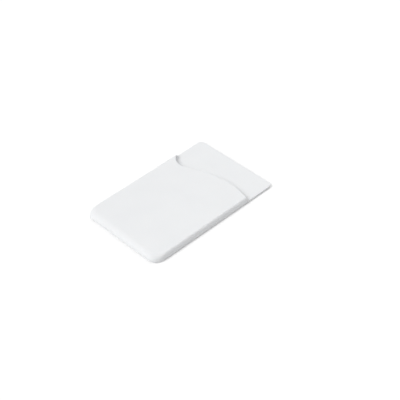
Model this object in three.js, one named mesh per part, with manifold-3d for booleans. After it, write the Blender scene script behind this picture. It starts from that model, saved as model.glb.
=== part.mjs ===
// A soft moulded pocket with an adhesive pad that sticks it on a flat back.
// Millimetres. X runs across the pocket, Y from its closed end to its open end, and Z away from
// the back that it sticks on. The origin is the middle of the adhesive pad's lower face.
import * as THREE from "three";
import { mergeVertices } from "three/addons/utils/BufferGeometryUtils.js";
import Module from "manifold-3d";

const wasm = await Module();
wasm.setup();

// What the slot holds: a plate of the standard ID-1 size
const cardWidth = 53.98;
const cardLength = 85.6;
const cardThickness = 0.76;
const cardCornerRadius = 3.18;

// The room that the slot leaves round it
const slotSideClearance = 0.11;
const slotHeadroom = 0.44;
const slotCornerClearance = 0.12;
const slotEdgeRadius = 0.3;

// The silicone round the slot
const backSheetThickness = 1.0;
const frontSheetThickness = 1.0;
const sideWall = 0.9;
const closedEndWall = 2.4;
const cardStandOut = 2.0;

// The rounded rim, where the front sheet comes down past the slot's edges to the sides
const rimFootHeight = 0.6;
const sideRimOverlap = 0.8;
const closedEndRimOverlap = 1.6;
const closedEndCornerRadius = 6.0;
const flatTopCornerRadius = 5.8;
const openEndCornerRadius = 2.75;

// The mouth, measured down from the back sheet's open end and in from its sides
const mouthLeftDrop = 18.8;
const mouthScoopDrop = 24.95;
const mouthScoopInset = 8.7;
const mouthCrestDrop = 17.15;
const mouthCrestInset = 15.5;
const mouthRightDrop = 19.4;
const mouthLeftSlope = -1.62;
const mouthRightSlope = -0.26;

// How far each mouth curve keeps its end's direction, as shares of its run across the pocket
const leftCurveEase = { start: 0.18, end: 0.49 };
const middleCurveEase = { start: 0.14, end: 0.5 };
const rightCurveEase = { start: 0.32, end: 0.32 };

// The adhesive pad
const padThickness = 0.3;
const padSideInset = 2.5;
const padEndInset = 3.0;
const padCornerRadius = 3.0;

// Facets, and how far a cutter reaches past what it cuts
const cornerSteps = 12;
const rimSteps = 9;
const slotEdgeSteps = 4;
const mouthCurveSteps = 24;
const cutterReach = 4.0;

// Sizes that follow from the ones above
const slotWidth = cardWidth + 2 * slotSideClearance;
const slotHeight = cardThickness + slotHeadroom;
const holderWidth = slotWidth + 2 * sideWall;
const holderLength = cardLength - cardStandOut + closedEndWall;
const halfWidth = holderWidth / 2;
const closedEndY = -holderLength / 2;
const openEndY = holderLength / 2;
const floorZ = padThickness + backSheetThickness;
const slotTopZ = floorZ + slotHeight;
const topZ = slotTopZ + frontSheetThickness;

// Corners of a rectangle with rounded corners, anticlockwise from the lower right corner
function roundedOutline(halfAcross, lowY, highY, lowRadius, highRadius) {
  const corners = [
    { x: halfAcross - lowRadius, y: lowY + lowRadius, radius: lowRadius, from: -90 },
    { x: halfAcross - highRadius, y: highY - highRadius, radius: highRadius, from: 0 },
    { x: highRadius - halfAcross, y: highY - highRadius, radius: highRadius, from: 90 },
    { x: lowRadius - halfAcross, y: lowY + lowRadius, radius: lowRadius, from: 180 },
  ];
  const points = [];
  for (const corner of corners) {
    for (let step = 0; step <= cornerSteps; step++) {
      const angle = THREE.MathUtils.degToRad(corner.from + (90 * step) / cornerSteps);
      const x = corner.x + corner.radius * Math.cos(angle);
      const y = corner.y + corner.radius * Math.sin(angle);
      points.push(new THREE.Vector2(x, y));
    }
  }
  return points;
}

// A closed body through level outlines of equal point counts, from the lowest to the highest
function loft(levels) {
  const count = levels[0].outline.length;
  const positions = [];
  const triangles = [];
  for (const level of levels) {
    for (const point of level.outline) {
      positions.push(point.x, point.y, level.z);
    }
  }
  for (let level = 0; level + 1 < levels.length; level++) {
    for (let here = 0; here < count; here++) {
      const next = (here + 1) % count;
      const low = level * count;
      const high = low + count;
      triangles.push(low + here, low + next, high + next);
      triangles.push(low + here, high + next, high + here);
    }
  }
  const top = (levels.length - 1) * count;
  for (const face of THREE.ShapeUtils.triangulateShape(levels[0].outline, [])) {
    triangles.push(face[0], face[2], face[1]);
  }
  for (const face of THREE.ShapeUtils.triangulateShape(levels[levels.length - 1].outline, [])) {
    triangles.push(top + face[0], top + face[1], top + face[2]);
  }
  const geometry = new THREE.BufferGeometry();
  geometry.setAttribute("position", new THREE.Float32BufferAttribute(positions, 3));
  geometry.setIndex(triangles);
  return geometry;
}

// A closed geometry as a solid that can be cut
function toSolid(geometry) {
  const bare = geometry.clone();
  bare.deleteAttribute("normal");
  bare.deleteAttribute("uv");
  const merged = mergeVertices(bare);
  const vertProperties = new Float32Array(merged.attributes.position.array);
  const triVerts = new Uint32Array(merged.index.array);
  return new wasm.Manifold(new wasm.Mesh({ numProp: 3, vertProperties, triVerts }));
}

// A cut solid as a geometry
function toGeometry(solid) {
  const mesh = solid.getMesh();
  const geometry = new THREE.BufferGeometry();
  const positions = new THREE.Float32BufferAttribute(mesh.vertProperties, 3);
  geometry.setAttribute("position", positions);
  geometry.setIndex(Array.from(mesh.triVerts));
  geometry.computeVertexNormals();
  return geometry;
}

// The moulding before it is hollowed: upright sides, then a rim that rounds over to the flat top
function pocketBlank() {
  const rimFootZ = padThickness + rimFootHeight;
  const rimRise = topZ - rimFootZ;
  const sideRun = sideWall + sideRimOverlap;
  const closedEndRun = closedEndWall + closedEndRimOverlap;
  const levels = [];
  const addLevel = (z, share) => {
    const radius = THREE.MathUtils.lerp(closedEndCornerRadius, flatTopCornerRadius, share);
    const across = halfWidth - sideRun * share;
    const lowY = closedEndY + closedEndRun * share;
    levels.push({ z, outline: roundedOutline(across, lowY, openEndY, radius, openEndCornerRadius) });
  };
  addLevel(padThickness, 0);
  for (let step = 0; step <= rimSteps; step++) {
    const angle = ((Math.PI / 2) * step) / rimSteps;
    addLevel(rimFootZ + rimRise * Math.sin(angle), 1 - Math.cos(angle));
  }
  return toSolid(loft(levels));
}

// The slot's room, with its upper edge rounded where the front sheet bends down to the sides
function slotCutter() {
  const radius = cardCornerRadius + slotCornerClearance;
  const levels = [];
  const addLevel = (z, inset) => {
    const across = slotWidth / 2 - inset;
    const lowY = closedEndY + closedEndWall + inset;
    levels.push({ z, outline: roundedOutline(across, lowY, openEndY + cutterReach, radius, radius) });
  };
  addLevel(floorZ, 0);
  for (let step = 0; step <= slotEdgeSteps; step++) {
    const angle = ((Math.PI / 2) * step) / slotEdgeSteps;
    addLevel(slotTopZ - slotEdgeRadius * (1 - Math.sin(angle)), slotEdgeRadius * (1 - Math.cos(angle)));
  }
  return toSolid(loft(levels));
}

// One stretch of the mouth between two points, with the slope that it has at each
function addMouthCurve(shape, from, to, ease) {
  const run = to.x - from.x;
  const leave = ease.start * run;
  const arrive = ease.end * run;
  shape.bezierCurveTo(
    from.x + leave,
    from.y + leave * from.slope,
    to.x - arrive,
    to.y - arrive * to.slope,
    to.x,
    to.y,
  );
}

// All that lies above the back sheet past the mouth: a scoop near the left side and a low crest
function mouthCutter() {
  const left = { x: -halfWidth, y: openEndY - mouthLeftDrop, slope: mouthLeftSlope };
  const scoop = { x: mouthScoopInset - halfWidth, y: openEndY - mouthScoopDrop, slope: 0 };
  const crest = { x: halfWidth - mouthCrestInset, y: openEndY - mouthCrestDrop, slope: 0 };
  const right = { x: halfWidth, y: openEndY - mouthRightDrop, slope: mouthRightSlope };
  const reachX = halfWidth + cutterReach;
  const reachY = openEndY + cutterReach;
  const shape = new THREE.Shape();
  shape.moveTo(-reachX, reachY);
  shape.lineTo(-reachX, left.y - cutterReach * left.slope);
  shape.lineTo(left.x, left.y);
  addMouthCurve(shape, left, scoop, leftCurveEase);
  addMouthCurve(shape, scoop, crest, middleCurveEase);
  addMouthCurve(shape, crest, right, rightCurveEase);
  shape.lineTo(reachX, right.y + cutterReach * right.slope);
  shape.lineTo(reachX, reachY);
  shape.closePath();
  const depth = topZ - floorZ + cutterReach;
  const extrusion = { depth, bevelEnabled: false, curveSegments: mouthCurveSteps };
  const geometry = new THREE.ExtrudeGeometry(shape, extrusion);
  geometry.translate(0, 0, floorZ);
  return toSolid(geometry);
}

// The pocket: one moulding, hollowed by the slot and trimmed along the mouth
function siliconePocket() {
  const solid = pocketBlank().subtract(slotCutter()).subtract(mouthCutter());
  const material = new THREE.MeshStandardMaterial({
    color: 0xeceeef,
    roughness: 0.6,
    metalness: 0,
  });
  const mesh = new THREE.Mesh(toGeometry(solid), material);
  mesh.name = "silicone_pocket";
  return mesh;
}

// The pad: its upper face lies on the underside of the pocket
function adhesivePad() {
  const across = halfWidth - padSideInset;
  const lowY = closedEndY + padEndInset;
  const highY = openEndY - padEndInset;
  const outline = roundedOutline(across, lowY, highY, padCornerRadius, padCornerRadius);
  const geometry = loft([
    { z: 0, outline },
    { z: padThickness, outline },
  ]);
  geometry.computeVertexNormals();
  const material = new THREE.MeshStandardMaterial({
    color: 0xd6d8d4,
    roughness: 0.35,
    metalness: 0,
  });
  const mesh = new THREE.Mesh(geometry, material);
  mesh.name = "adhesive_pad";
  return mesh;
}

const holder = new THREE.Group();
holder.add(siliconePocket());
holder.add(adhesivePad());

export default holder;
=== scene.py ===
"""A stick on holder: a white silicone pocket with a wavy mouth, and the adhesive pad under it.

Lengths are in metres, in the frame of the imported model: X runs across the pocket, Y from its closed
end to its open end, and Z up from the face that it sticks on.
"""

import logging
import math
from collections.abc import Callable
from dataclasses import dataclass, field
from enum import Enum

import bmesh
import bpy
from mathutils import Matrix, Vector


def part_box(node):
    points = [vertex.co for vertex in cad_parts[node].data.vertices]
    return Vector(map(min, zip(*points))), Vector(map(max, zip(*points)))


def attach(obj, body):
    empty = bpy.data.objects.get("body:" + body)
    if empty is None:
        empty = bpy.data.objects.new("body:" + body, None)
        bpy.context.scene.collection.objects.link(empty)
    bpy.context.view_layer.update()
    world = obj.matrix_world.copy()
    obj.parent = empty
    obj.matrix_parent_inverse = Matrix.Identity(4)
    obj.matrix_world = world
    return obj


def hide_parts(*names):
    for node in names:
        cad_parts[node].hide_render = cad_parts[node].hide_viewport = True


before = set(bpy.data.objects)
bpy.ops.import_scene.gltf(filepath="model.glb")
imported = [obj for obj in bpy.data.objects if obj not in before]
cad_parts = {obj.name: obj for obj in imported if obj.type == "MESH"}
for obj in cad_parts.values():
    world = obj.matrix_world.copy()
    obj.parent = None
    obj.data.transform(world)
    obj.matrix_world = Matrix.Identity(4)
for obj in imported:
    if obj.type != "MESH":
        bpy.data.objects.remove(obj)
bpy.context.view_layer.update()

MM = 0.001
BODY = "root"
LOG = logging.getLogger("holder")
WHITE = (1.0, 1.0, 1.0, 1.0)
SMOOTH_ANGLE = math.radians(35.0)
SHARP_ANGLE = math.radians(40.0)

Level = tuple[float, Vector, Vector]
Knot = tuple[Vector, Vector | None, Vector | None]


class End(Enum):
    """The two ends of the pocket along Y."""

    CLOSED = "closed"
    OPEN = "open"


class Join(Enum):
    """What a closed body does to the piece that it is combined with."""

    CUT = "DIFFERENCE"
    ADD = "UNION"


class Signal:
    """A node's output that Python's operators can add to, scale and turn round."""

    def __init__(self, graph: "Graph", socket: bpy.types.NodeSocket) -> None:
        """Keeps the graph that the output is in."""
        self.graph = graph
        self.socket = socket

    def _sum(self, operation: str, left: object, right: object) -> "Signal":
        """Adds one Math node and gives its result."""
        return self.graph.node("ShaderNodeMath", {"operation": operation}, {0: left, 1: right})

    def __add__(self, other: object) -> "Signal":
        """This plus another value."""
        return self._sum("ADD", self, other)

    def __radd__(self, other: object) -> "Signal":
        """A value plus this."""
        return self._sum("ADD", other, self)

    def __sub__(self, other: object) -> "Signal":
        """This less another value."""
        return self._sum("SUBTRACT", self, other)

    def __rsub__(self, other: object) -> "Signal":
        """A value less this."""
        return self._sum("SUBTRACT", other, self)

    def __mul__(self, other: object) -> "Signal":
        """This times another value."""
        return self._sum("MULTIPLY", self, other)

    def __rmul__(self, other: object) -> "Signal":
        """A value times this."""
        return self._sum("MULTIPLY", other, self)


class Graph:
    """One material's or world's nodes."""

    def __init__(self, owner: bpy.types.Material | bpy.types.World) -> None:
        """Empties the owner's node tree and keeps it.

        Args:
            owner: the material or world whose nodes are made.
        """
        owner.use_nodes = True
        self.tree = owner.node_tree
        self.tree.nodes.clear()

    def node(
        self,
        kind: str,
        settings: dict[str, object] | None = None,
        inputs: dict[str | int, object] | None = None,
        output: str | int = 0,
    ) -> Signal:
        """Adds a node, sets it and joins its inputs.

        Args:
            kind: the node's type.
            settings: its properties; "stops" are a ramp's places and grey levels or colours.
            inputs: a value or a Signal for each named or numbered socket.
            output: the output that is given back.

        Returns:
            The chosen output.
        """
        made = self.tree.nodes.new(kind)
        for name, value in (settings or {}).items():
            if name == "stops":
                self._set_stops(made.color_ramp, value)
            else:
                setattr(made, name, value)
        for key, value in (inputs or {}).items():
            if isinstance(value, Signal):
                self.tree.links.new(value.socket, made.inputs[key])
            else:
                made.inputs[key].default_value = value
        return Signal(self, made.outputs[output]) if len(made.outputs) else Signal(self, None)

    @staticmethod
    def _set_stops(ramp: bpy.types.ColorRamp, stops: tuple) -> None:
        """Gives a ramp its places and grey levels.

        Args:
            ramp: the ramp of a Color Ramp node.
            stops: pairs of a place and a grey level, from left to right.
        """
        while len(ramp.elements) < len(stops):
            ramp.elements.new(1.0)
        for element, (place, level) in zip(ramp.elements, stops):
            element.position = place
            element.color = (level, level, level, 1.0)

    def mixed(self, share: Signal, first: tuple, second: tuple) -> Signal:
        """A colour between two, by share."""
        settings = {"data_type": "RGBA"}
        return self.node("ShaderNodeMix", settings, {0: share, 6: first, 7: second}, output=2)

    def place(self, scale: tuple = (1.0, 1.0, 1.0)) -> Signal:
        """The Object coordinates, scaled along each axis."""
        coordinates = self.node("ShaderNodeTexCoord", output="Object")
        return self.node("ShaderNodeMapping", {}, {"Vector": coordinates, "Scale": scale})

    def noise(self, place: Signal, size: float, detail: float = 2.0, rough: float = 0.5) -> Signal:
        """Noise whose lumps are about that size, in metres."""
        inputs = {"Vector": place, "Scale": 1.0 / size, "Detail": detail, "Roughness": rough}
        return self.node("ShaderNodeTexNoise", {}, inputs, output="Fac")

    def bump(self, relief: Signal) -> Signal:
        """The normal that a relief gives, whose height is in metres."""
        return self.node("ShaderNodeBump", {}, {"Strength": 1.0, "Distance": 1.0, "Height": relief})


@dataclass(frozen=True)
class SiliconeFinish:
    """White silicone rubber: satin, with a dry skin and the faint mottling of a filled rubber."""

    name: str = "white_silicone"
    pale: tuple = (0.905, 0.916, 0.927, 1.0)
    deep: tuple = (0.88, 0.892, 0.905, 1.0)
    roughness: float = 0.5
    roughness_swing: float = 0.06
    cloud_size: float = 14.0 * MM
    speck_size: float = 0.35 * MM
    skin_size: float = 0.09 * MM
    skin_height: float = 0.012 * MM
    wave_size: float = 9.0 * MM
    wave_height: float = 0.03 * MM
    seam_height: float = 1.35 * MM
    seam_width: float = 0.14 * MM
    seam_relief: float = 0.03 * MM
    cloud_share: float = 0.75
    mottle_stops: tuple = ((0.3, 0.0), (0.7, 1.0))
    ior: float = 1.41
    specular: float = 0.5
    scatter: float = 0.12
    scatter_depth: float = 1.2 * MM
    scatter_tint: tuple = (1.0, 0.95, 0.9)
    sheen: float = 0.08
    sheen_roughness: float = 0.4

    def material(self) -> bpy.types.Material:
        """Builds the material.

        Returns:
            The material, whose colour, roughness and normal vary over the surface.
        """
        made = bpy.data.materials.new(self.name)
        graph = Graph(made)
        place = graph.place()
        clouds = graph.noise(place, self.cloud_size, detail=3.0)
        specks = graph.noise(place, self.speck_size, detail=1.0)
        mottle = clouds * self.cloud_share + specks * (1.0 - self.cloud_share)
        spread = graph.node("ShaderNodeValToRGB", {"stops": self.mottle_stops}, {0: mottle})
        roughness = specks * self.roughness_swing + (self.roughness - self.roughness_swing / 2)
        inputs = {
            "Base Color": graph.mixed(spread, self.deep, self.pale),
            "Roughness": roughness,
            "IOR": self.ior,
            "Specular IOR Level": self.specular,
            "Subsurface Weight": self.scatter,
            "Subsurface Radius": self.scatter_tint,
            "Subsurface Scale": self.scatter_depth,
            "Sheen Weight": self.sheen,
            "Sheen Roughness": self.sheen_roughness,
            "Normal": self._relief(graph, place),
        }
        shader = graph.node("ShaderNodeBsdfPrincipled", {}, inputs)
        graph.node("ShaderNodeOutputMaterial", {}, {"Surface": shader})
        return made

    def _relief(self, graph: Graph, place: Signal) -> Signal:
        """The skin's fine grain, the moulding's soft unevenness and its parting line.

        Args:
            graph: the material's graph.
            place: the Object coordinates.

        Returns:
            The normal that the three bumps give.
        """
        skin = graph.noise(place, self.skin_size, rough=0.6)
        waves = graph.noise(place, self.wave_size, detail=1.0, rough=0.4)
        height = graph.node("ShaderNodeSeparateXYZ", {}, {0: place}, output="Z")
        apart = graph.node("ShaderNodeMath", {"operation": "ABSOLUTE"}, {0: height - self.seam_height})
        ridge_inputs = {0: apart, 1: 0.0, 2: self.seam_width, 3: 1.0, 4: 0.0}
        ridge = graph.node("ShaderNodeMapRange", {"interpolation_type": "SMOOTHSTEP"}, ridge_inputs)
        relief = skin * self.skin_height + waves * self.wave_height + ridge * self.seam_relief
        return graph.bump(relief)


@dataclass(frozen=True)
class AdhesiveFinish:
    """A milky acrylic adhesive on a tissue carrier, whose fibres show faintly through it."""

    name: str = "milky_adhesive"
    pale: tuple = (0.80, 0.81, 0.79, 1.0)
    deep: tuple = (0.70, 0.71, 0.68, 1.0)
    roughness: float = 0.26
    roughness_swing: float = 0.12
    fibre_width: float = 0.16 * MM
    fibre_stretch: float = 0.09
    cloud_size: float = 6.0 * MM
    fibre_height: float = 0.01 * MM
    ripple_size: float = 2.2 * MM
    ripple_height: float = 0.02 * MM
    web_share: float = 0.6
    web_stops: tuple = ((0.2, 0.0), (0.42, 1.0))
    ior: float = 1.47
    coat: float = 0.2
    coat_roughness: float = 0.15

    def material(self) -> bpy.types.Material:
        """Builds the material.

        Returns:
            The material, with fibres that run both ways through a cloudy film.
        """
        made = bpy.data.materials.new(self.name)
        graph = Graph(made)
        place = graph.place()
        along = graph.noise(graph.place((self.fibre_stretch, 1.0, 1.0)), self.fibre_width)
        across = graph.noise(graph.place((1.0, self.fibre_stretch, 1.0)), self.fibre_width)
        clouds = graph.noise(place, self.cloud_size)
        web = graph.node("ShaderNodeValToRGB", {"stops": self.web_stops}, {0: along * across})
        mottle = web * self.web_share + clouds * (1.0 - self.web_share)
        ripples = graph.noise(place, self.ripple_size, detail=1.0)
        relief = web * self.fibre_height + ripples * self.ripple_height
        inputs = {
            "Base Color": graph.mixed(mottle, self.deep, self.pale),
            "Roughness": clouds * self.roughness_swing + (self.roughness - self.roughness_swing / 2),
            "IOR": self.ior,
            "Coat Roughness": self.coat_roughness,
            "Coat Weight": self.coat,
            "Normal": graph.bump(relief),
        }
        shader = graph.node("ShaderNodeBsdfPrincipled", {}, inputs)
        graph.node("ShaderNodeOutputMaterial", {}, {"Surface": shader})
        return made


class Bench:
    """The modelling operators, each of which acts on one piece and on what is selected by place."""

    @staticmethod
    def clear() -> None:
        """Leaves edit mode and deselects every object."""
        if bpy.context.object and bpy.context.object.mode != "OBJECT":
            bpy.ops.object.mode_set(mode="OBJECT")
        bpy.ops.object.select_all(action="DESELECT")

    @staticmethod
    def take(piece: bpy.types.Object) -> None:
        """Makes a piece the only one that operators act on.

        Args:
            piece: the piece, which becomes the active one.
        """
        Bench.clear()
        piece.select_set(True)
        bpy.context.view_layer.objects.active = piece

    @staticmethod
    def pick_corners(piece: bpy.types.Object, wanted: Callable[[Vector], bool]) -> None:
        """Selects a piece's vertices by their place and stays in edit mode.

        Args:
            piece: the piece, which becomes the active one.
            wanted: says of a vertex's place whether it is selected.
        """
        Bench.take(piece)
        bpy.ops.object.mode_set(mode="EDIT")
        bpy.context.tool_settings.mesh_select_mode = (True, False, False)
        bpy.ops.mesh.select_all(action="DESELECT")
        edited = bmesh.from_edit_mesh(piece.data)
        for vertex in edited.verts:
            vertex.select_set(wanted(vertex.co))
        edited.select_flush_mode()
        bmesh.update_edit_mesh(piece.data)

    @staticmethod
    def pick_edges(piece: bpy.types.Object, wanted: Callable[[bmesh.types.BMEdge], bool]) -> None:
        """Selects a piece's edges and stays in edit mode.

        Args:
            piece: the piece, which becomes the active one.
            wanted: says of an edge whether it is selected.
        """
        Bench.take(piece)
        bpy.ops.object.mode_set(mode="EDIT")
        bpy.context.tool_settings.mesh_select_mode = (False, True, False)
        bpy.ops.mesh.select_all(action="DESELECT")
        edited = bmesh.from_edit_mesh(piece.data)
        for edge in [edge for edge in edited.edges if wanted(edge)]:
            edge.select_set(True)
        bmesh.update_edit_mesh(piece.data)

    @staticmethod
    def plate(name: str, low: Vector, high: Vector, level: float) -> bpy.types.Object:
        """A level rectangular face.

        Args:
            name: the piece's name.
            low: its lowest X and Y.
            high: its highest X and Y.
            level: its Z.

        Returns:
            The new piece, with its place in its mesh.
        """
        Bench.clear()
        middle = (low + high) / 2
        bpy.ops.mesh.primitive_plane_add(size=1.0, location=(middle.x, middle.y, level))
        piece = bpy.context.object
        piece.name = name
        piece.data.name = name
        piece.scale = (high.x - low.x, high.y - low.y, 1.0)
        bpy.ops.object.transform_apply(location=True, rotation=True, scale=True)
        return piece

    @staticmethod
    def round_end(piece: bpy.types.Object, end: End, radius: float, steps: int) -> None:
        """Rounds the two corners of a plate at one end.

        Args:
            piece: the plate, while it still is one face.
            end: which end's corners are rounded.
            radius: the corners' radius.
            steps: how many facets each corner gets.
        """
        middle = sum((vertex.co.y for vertex in piece.data.vertices)) / len(piece.data.vertices)
        Bench.pick_corners(piece, lambda place: (place.y > middle) == (end is End.OPEN))
        settings = {"offset_type": "OFFSET", "segments": steps, "profile": 0.5}
        bpy.ops.mesh.bevel(offset=radius, affect="VERTICES", **settings)
        bpy.ops.object.mode_set(mode="OBJECT")

    @staticmethod
    def raise_levels(piece: bpy.types.Object, levels: list[Level]) -> None:
        """Draws a flat face up through levels into a closed body.

        Args:
            piece: a single level face whose outline is that of the first level.
            levels: each level's Z and its lowest and highest X and Y, the first one included.
        """
        Bench.pick_corners(piece, lambda place: True)
        for (under, under_low, under_high), (level, low, high) in zip(levels, levels[1:]):
            bpy.ops.mesh.extrude_region_move(TRANSFORM_OT_translate={"value": (0.0, 0.0, level - under)})
            old_size, new_size = under_high - under_low, high - low
            bpy.ops.transform.resize(
                value=(new_size.x / old_size.x, new_size.y / old_size.y, 1.0),
                center_override=(*((under_low + under_high) / 2).xy, level),
            )
            shift = (low + high - under_low - under_high) / 2
            bpy.ops.transform.translate(value=(shift.x, shift.y, 0.0))
        bpy.ops.object.mode_set(mode="OBJECT")

    @staticmethod
    def combine(piece: bpy.types.Object, other: bpy.types.Object, how: Join) -> None:
        """Cuts a body out of a piece or adds it, and deletes the body.

        Args:
            piece: the piece that is changed.
            other: the closed body that is taken away or added.
            how: whether it is taken away or added.
        """
        Bench.take(piece)
        modifier = piece.modifiers.new("combine", "BOOLEAN")
        modifier.operation = how.value
        modifier.solver = "EXACT"
        modifier.object = other
        bpy.ops.object.modifier_apply(modifier=modifier.name)
        bpy.data.objects.remove(other)


@dataclass
class PocketMoulding:
    """The pocket: one silicone moulding, hollowed by its slot and trimmed along its wavy mouth."""

    name: str = "silicone_moulding"
    rim_foot: float = 0.6 * MM
    side_run: float = 1.7 * MM
    end_run: float = 4.0 * MM
    closed_corner: float = 6.0 * MM
    open_corner: float = 2.75 * MM
    back_sheet: float = 1.0 * MM
    side_wall: float = 0.9 * MM
    end_wall: float = 2.4 * MM
    slot_height: float = 1.2 * MM
    slot_corner: float = 3.3 * MM
    slot_edge: float = 0.3 * MM
    mouth_left_drop: float = 18.8 * MM
    mouth_scoop_drop: float = 24.95 * MM
    mouth_scoop_inset: float = 8.7 * MM
    mouth_crest_drop: float = 17.15 * MM
    mouth_crest_inset: float = 15.5 * MM
    mouth_right_drop: float = 19.4 * MM
    mouth_left_slope: float = -1.62
    mouth_right_slope: float = -0.26
    left_ease: tuple = (0.18, 0.49)
    middle_ease: tuple = (0.14, 0.5)
    right_ease: tuple = (0.32, 0.32)
    left_straight: float = 0.36
    right_straight: float = 0.855
    lip_radius: float = 0.35 * MM
    inner_radius: float = 0.15 * MM
    sheet_radius: float = 0.22 * MM
    tab_start: float = 55.0 * MM
    tuck: float = 0.01 * MM
    tiny: float = 0.004 * MM
    same_place: float = 0.001 * MM
    reach: float = 4.0 * MM
    facing: float = 0.3
    first_rim_turn: float = 10.0
    area_weight: int = 50
    mouth_steps: int = 32
    corner_steps: int = 20
    rim_steps: int = 14
    slot_steps: int = 5
    edge_steps: int = 3
    lip_steps: int = 5
    low: Vector = field(init=False)
    high: Vector = field(init=False)
    floor: float = field(init=False)

    def build(self) -> bpy.types.Object:
        """Models the moulding.

        Returns:
            The finished piece.
        """
        self.low, self.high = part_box("silicone_pocket")
        self.floor = self.low.z + self.back_sheet
        piece = self._blank()
        Bench.combine(piece, self._slot_tool(), Join.CUT)
        Bench.combine(piece, self._mouth_tool(), Join.CUT)
        self._draw_lip(piece)
        Bench.combine(piece, self._tab(), Join.ADD)
        self._smooth(piece)
        return piece

    def _blank(self) -> bpy.types.Object:
        """The moulding before it is hollowed: upright sides, then a rim that rounds over.

        Returns:
            A closed body.
        """
        rise = self.high.z - self.low.z - self.rim_foot
        levels = [self._level(self.low.z, 0.0, 0.0, 0.0)]
        turns = [0.0]
        for step in range(self.rim_steps):
            share = step / (self.rim_steps - 1)
            turns.append(math.radians(self.first_rim_turn + (90.0 - self.first_rim_turn) * share))
        for turn in turns:
            level = self.low.z + self.rim_foot + rise * math.sin(turn)
            share = 1 - math.cos(turn)
            levels.append(self._level(level, self.side_run * share, self.end_run * share, 0.0))
        piece = Bench.plate(self.name, levels[0][1], levels[0][2], levels[0][0])
        Bench.round_end(piece, End.CLOSED, self.closed_corner, self.corner_steps)
        Bench.raise_levels(piece, levels)
        return piece

    def _tab(self) -> bpy.types.Object:
        """The bare end of the back sheet, which reaches a little way in under the pocket.

        Returns:
            A closed body.
        """
        levels = [self._level(self.low.z + self.tuck, self.tuck, self.tab_start, 0.0)]
        for step in range(self.edge_steps + 1):
            angle = math.pi / 2 * step / self.edge_steps
            inset = self.sheet_radius * (1 - math.cos(angle))
            level = self.floor - self.sheet_radius * (1 - math.sin(angle))
            levels.append(self._level(level, self.tuck + inset, self.tab_start + inset, inset))
        piece = Bench.plate("tab", levels[0][1], levels[0][2], levels[0][0])
        Bench.round_end(piece, End.OPEN, self.open_corner, self.corner_steps // 2)
        Bench.raise_levels(piece, levels)
        return piece

    def _level(self, level: float, side: float, closed: float, opened: float) -> Level:
        """One level of the moulding, by how far it stands in from the moulding's outline.

        Args:
            level: its Z.
            side: how far it stands in at either side.
            closed: how far it stands in at the closed end.
            opened: how far it stands in at the open end.

        Returns:
            Its Z and its lowest and highest X and Y.
        """
        low = Vector((self.low.x + side, self.low.y + closed, 0.0))
        high = Vector((self.high.x - side, self.high.y - opened, 0.0))
        return level, low, high

    def _slot_tool(self) -> bpy.types.Object:
        """The slot's room, with its upper edge rounded where the front sheet bends down.

        Returns:
            A closed body that reaches out past the open end.
        """
        top = self.floor + self.slot_height
        floor = self.floor - self.tuck
        levels = [self._level(floor, self.side_wall, self.end_wall, -self.reach)]
        for step in range(self.slot_steps + 1):
            angle = math.pi / 2 * step / self.slot_steps
            inset = self.slot_edge * (1 - math.cos(angle))
            level = top - self.slot_edge * (1 - math.sin(angle))
            levels.append(self._level(level, self.side_wall + inset, self.end_wall + inset, -self.reach))
        piece = Bench.plate("slot_tool", levels[0][1], levels[0][2], floor)
        Bench.round_end(piece, End.CLOSED, self.slot_corner, self.corner_steps // 2)
        Bench.raise_levels(piece, levels)
        return piece

    @staticmethod
    def _split(points: tuple, share: float) -> tuple[list[Vector], list[Vector]]:
        """Divides one stretch of a curve in two.

        Args:
            points: its two ends and, between them, its two handles.
            share: where it is divided.

        Returns:
            The same four points for either part.
        """
        rows = [list(points)]
        while len(rows[-1]) > 1:
            rows.append([here.lerp(after, share) for here, after in zip(rows[-1], rows[-1][1:])])
        return [row[0] for row in rows], [row[-1] for row in reversed(rows)]

    def _mouth_knots(self) -> list[Knot]:
        """The line that the mouth is cut along, which runs straight across either side's rim.

        Returns:
            From left to right, each knot's place and those of its handles, None where it is straight.
        """
        left = Vector((self.low.x, self.high.y - self.mouth_left_drop, 0.0))
        scoop = Vector((self.low.x + self.mouth_scoop_inset, self.high.y - self.mouth_scoop_drop, 0.0))
        crest = Vector((self.high.x - self.mouth_crest_inset, self.high.y - self.mouth_crest_drop, 0.0))
        right = Vector((self.high.x, self.high.y - self.mouth_right_drop, 0.0))
        across = Vector((1.0, 0.0, 0.0))
        left_way = Vector((1.0, self.mouth_left_slope, 0.0)) * (scoop.x - left.x)
        right_way = Vector((1.0, self.mouth_right_slope, 0.0)) * (right.x - crest.x)
        leave = left + left_way * self.left_ease[0]
        arrive = scoop - across * (scoop.x - left.x) * self.left_ease[1]
        first = self._split((left, leave, arrive, scoop), self.left_straight)[1]
        leave = crest + across * (right.x - crest.x) * self.right_ease[0]
        arrive = right - right_way * self.right_ease[1]
        last = self._split((crest, leave, arrive, right), self.right_straight)[0]
        middle = across * (crest.x - scoop.x)
        outer_left = left + (left - first[0]).normalized() * self.reach
        outer_right = right + (right - last[3]).normalized() * self.reach
        return [
            (outer_left, None, None),
            (first[0], None, first[1]),
            (scoop, first[2], scoop + middle * self.middle_ease[0]),
            (crest, crest - middle * self.middle_ease[1], last[1]),
            (last[3], last[2], None),
            (outer_right, None, None),
        ]

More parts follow.
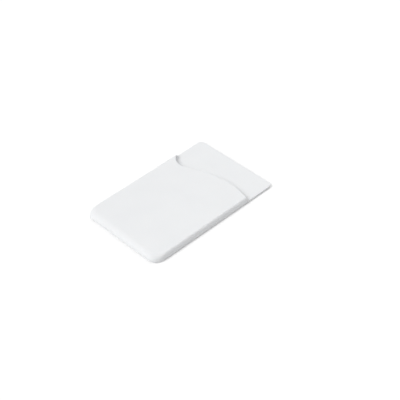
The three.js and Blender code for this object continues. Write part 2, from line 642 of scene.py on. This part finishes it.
    def _mouth_tool(self) -> bpy.types.Object:
        """All that lies past the mouth's line.

        Returns:
            A closed body.
        """
        half = (self.high.z - self.low.z) / 2 + self.reach
        curve = bpy.data.curves.new("mouth_tool", "CURVE")
        curve.dimensions = "2D"
        curve.fill_mode = "BOTH"
        curve.extrude = half
        curve.resolution_u = self.mouth_steps
        knots = self._mouth_knots()
        top = self.high.y + self.reach
        for corner in (knots[-1][0], knots[0][0]):
            knots.append((Vector((corner.x, top, 0.0)), None, None))
        spline = curve.splines.new("BEZIER")
        spline.bezier_points.add(len(knots) - 1)
        spline.use_cyclic_u = True
        for point, (place, before, after) in zip(spline.bezier_points, knots):
            point.handle_left_type = "VECTOR" if before is None else "FREE"
            point.handle_right_type = "VECTOR" if after is None else "FREE"
            point.co = place
            if before is not None:
                point.handle_left = before
            if after is not None:
                point.handle_right = after
        piece = bpy.data.objects.new("mouth_tool", curve)
        bpy.context.scene.collection.objects.link(piece)
        Bench.take(piece)
        bpy.ops.object.convert(target="MESH")
        piece = bpy.context.object
        piece.location.z = (self.low.z + self.high.z) / 2
        bpy.ops.object.transform_apply(location=True, rotation=True, scale=True)
        bpy.ops.object.mode_set(mode="EDIT")
        bpy.ops.mesh.select_all(action="SELECT")
        bpy.ops.mesh.remove_doubles(threshold=self.same_place)
        bpy.ops.mesh.normals_make_consistent(inside=False)
        bpy.ops.object.mode_set(mode="OBJECT")
        return piece

    def _rims_mouth(self, edge: bmesh.types.BMEdge, inner: bool) -> bool:
        """Says whether an edge runs round the mouth's wall.

        Args:
            edge: an edge of the cut moulding.
            inner: whether the slot's side of the wall is asked for, or its outer side.

        Returns:
            Whether the edge is sharp, belongs to the wall and lies on that side.
        """
        walls = [face for face in edge.link_faces if face.normal.y > self.facing]
        sharp = edge.is_manifold and edge.calc_face_angle() > SHARP_ANGLE
        middle = (edge.verts[0].co + edge.verts[1].co) / 2
        beside = abs(middle.x) < self.high.x - self.side_wall + self.tiny
        under = middle.z < self.floor + self.slot_height + self.tiny
        hidden = middle.z < self.floor and abs(edge.verts[0].co.z - edge.verts[1].co.z) < self.tiny
        rims = len(walls) == 1 and sharp and middle.y > 0.0 and not hidden
        return rims and (beside and under) == inner

    def _draw_lip(self, piece: bpy.types.Object) -> None:
        """Rounds the mouth's lip off, more on its outer side than on the slot's.

        Args:
            piece: the cut moulding.
        """
        Bench.pick_corners(piece, lambda place: True)
        bpy.ops.mesh.remove_doubles(threshold=self.tiny)
        for inner, radius in ((False, self.lip_radius), (True, self.inner_radius)):
            Bench.pick_edges(piece, lambda edge: self._rims_mouth(edge, inner))
            settings = {"segments": self.lip_steps, "clamp_overlap": False, "loop_slide": False}
            bpy.ops.mesh.bevel(offset=radius, offset_type="OFFSET", affect="EDGES", **settings)
        bpy.ops.object.mode_set(mode="OBJECT")

    def _smooth(self, piece: bpy.types.Object) -> None:
        """Shades the moulding smooth, each flat face staying flat.

        Args:
            piece: the joined moulding.
        """
        Bench.pick_corners(piece, lambda place: True)
        bpy.ops.mesh.remove_doubles(threshold=self.tiny)
        bpy.ops.object.mode_set(mode="OBJECT")
        bpy.ops.object.shade_smooth_by_angle(angle=SMOOTH_ANGLE)
        weighted = piece.modifiers.new("even shading", "WEIGHTED_NORMAL")
        weighted.keep_sharp = True
        weighted.weight = self.area_weight
        bpy.ops.object.modifier_apply(modifier=weighted.name)

    def dress(self, piece: bpy.types.Object, finish: SiliconeFinish) -> None:
        """Gives the moulding its finish and its place in the frame.

        Args:
            piece: the moulding.
            finish: the finish that it gets.
        """
        piece.data.materials.clear()
        piece.data.materials.append(finish.material())
        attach(piece, BODY)
        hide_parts("silicone_pocket")


@dataclass
class AdhesivePad:
    """The pad: a thin die-cut sheet of double-sided adhesive under the back sheet."""

    name: str = "adhesive_sheet"
    corner: float = 3.0 * MM
    edge: float = 0.05 * MM
    corner_steps: int = 12
    edge_steps: int = 2

    def build(self) -> bpy.types.Object:
        """Models the pad.

        Returns:
            The finished piece.
        """
        low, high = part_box("adhesive_pad")
        piece = Bench.plate(self.name, low, high, low.z)
        for end in End:
            Bench.round_end(piece, end, self.corner, self.corner_steps)
        Bench.raise_levels(piece, [(low.z, low, high), (high.z, low, high)])
        bevel = piece.modifiers.new("die cut edges", "BEVEL")
        bevel.width = self.edge
        bevel.segments = self.edge_steps
        bevel.limit_method = "ANGLE"
        bevel.angle_limit = SHARP_ANGLE
        bpy.ops.object.modifier_apply(modifier=bevel.name)
        bpy.ops.object.shade_smooth_by_angle(angle=SMOOTH_ANGLE)
        return piece

    def dress(self, piece: bpy.types.Object, finish: AdhesiveFinish) -> None:
        """Gives the pad its finish and its place in the frame.

        Args:
            piece: the pad.
            finish: the finish that it gets.
        """
        piece.data.materials.clear()
        piece.data.materials.append(finish.material())
        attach(piece, BODY)
        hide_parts("adhesive_pad")


@dataclass(frozen=True)
class SoftSun:
    """A far, large lamp: where it stands, its share of the light on a level face, and its width."""

    name: str
    azimuth: float
    elevation: float
    share: float
    width: float = 40.0

    def build(self) -> None:
        """Makes the lamp, turned to the object."""
        data = bpy.data.lights.new(self.name, "SUN")
        data.angle = math.radians(self.width)
        data.energy = self.share * math.pi / math.sin(math.radians(self.elevation))
        lamp = bpy.data.objects.new(self.name, data)
        bpy.context.scene.collection.objects.link(lamp)
        back = direction(self.azimuth, self.elevation)
        lamp.location = back
        lamp.rotation_mode = "QUATERNION"
        lamp.rotation_quaternion = (-back).to_track_quat("-Z", "Y")


@dataclass
class Studio:
    """A plain white floor under soft light from the left, the front and behind."""

    floor_half: float = 6.0
    floor_drop: float = 0.02 * MM
    floor_colour: tuple = (0.9, 0.9, 0.9, 1.0)
    floor_glow: float = 0.17
    world_level: float = 0.364
    lamps: tuple = (
        SoftSun("left_lamp", azimuth=-42.0, elevation=50.0, share=0.235),
        SoftSun("front_lamp", azimuth=-15.0, elevation=40.0, share=0.19),
        SoftSun("back_lamp", azimuth=180.0, elevation=40.0, share=0.18),
    )

    def build(self) -> None:
        """Makes the floor, the lamps and the world."""
        self._floor()
        for lamp in self.lamps:
            lamp.build()
        self._world()

    def _floor(self) -> None:
        """A wide level floor just under the pad."""
        low = Vector((-self.floor_half, -self.floor_half, 0.0))
        high = Vector((self.floor_half, self.floor_half, 0.0))
        floor = Bench.plate("floor", low, high, -self.floor_drop)
        made = bpy.data.materials.new("white_floor")
        graph = Graph(made)
        matte = graph.node("ShaderNodeBsdfDiffuse", {}, {"Color": self.floor_colour})
        path = graph.node("ShaderNodeLightPath", output="Is Camera Ray")
        glow = graph.node("ShaderNodeEmission", {}, {"Strength": path * self.floor_glow})
        both = graph.node("ShaderNodeAddShader", {}, {0: matte, 1: glow})
        graph.node("ShaderNodeOutputMaterial", {}, {"Surface": both})
        floor.data.materials.append(made)

    def _world(self) -> None:
        """An even grey world that the camera sees as white."""
        world = bpy.data.worlds.new("studio")
        bpy.context.scene.world = world
        graph = Graph(world)
        path = graph.node("ShaderNodeLightPath", output="Is Camera Ray")
        level = path * (1.0 - self.world_level) + self.world_level
        glow = graph.node("ShaderNodeBackground", {}, {"Color": WHITE, "Strength": level})
        graph.node("ShaderNodeOutputWorld", {}, {"Surface": glow})


def direction(azimuth: float, elevation: float) -> Vector:
    """The unit vector towards a viewer, in degrees; azimuth 0 looks along +Y.

    Args:
        azimuth: the angle round the object.
        elevation: the angle above the horizon.

    Returns:
        The unit vector from the object to the viewer.
    """
    turn, lift = math.radians(azimuth), math.radians(elevation)
    return Vector(
        (math.sin(turn) * math.cos(lift), -math.cos(turn) * math.cos(lift), math.sin(lift))
    )


@dataclass
class PhotoCamera:
    """The camera at the photograph's viewing angle."""

    target: tuple = (7.579 * MM, 7.69 * MM, 0.0)
    distance: float = 601.94 * MM
    azimuth: float = 48.16
    elevation: float = 41.47
    roll: float = -3.024
    lens: float = 100.37
    sensor: float = 36.0
    near: float = 10.0 * MM
    far: float = 20.0

    def build(self) -> bpy.types.Object:
        """Makes the camera and gives it to the scene.

        Returns:
            The camera.
        """
        data = bpy.data.cameras.new("photo_camera")
        data.lens = self.lens
        data.sensor_width = self.sensor
        data.clip_start = self.near
        data.clip_end = self.far
        camera = bpy.data.objects.new("photo_camera", data)
        bpy.context.scene.collection.objects.link(camera)
        back = direction(self.azimuth, self.elevation)
        level = direction(self.azimuth + 90.0, 0.0)
        up = back.cross(level)
        roll = math.radians(self.roll)
        right = level * math.cos(roll) + up * math.sin(roll)
        top = up * math.cos(roll) - level * math.sin(roll)
        turned = Matrix((right, top, back)).transposed().to_4x4()
        camera.matrix_world = Matrix.Translation(Vector(self.target) + back * self.distance) @ turned
        bpy.context.scene.camera = camera
        return camera


def main() -> None:
    """Builds the pieces in order, then the studio and the camera."""
    logging.basicConfig(level=logging.INFO, format="%(name)s: %(message)s")
    bpy.context.scene.view_settings.view_transform = "Standard"
    pocket = PocketMoulding()
    moulding = pocket.build()
    pocket.dress(moulding, SiliconeFinish())
    LOG.info("%s has %d faces", moulding.name, len(moulding.data.polygons))
    pad = AdhesivePad()
    sheet = pad.build()
    pad.dress(sheet, AdhesiveFinish())
    LOG.info("%s has %d faces", sheet.name, len(sheet.data.polygons))
    Studio().build()
    PhotoCamera().build()


if __name__ == "__main__":
    main()
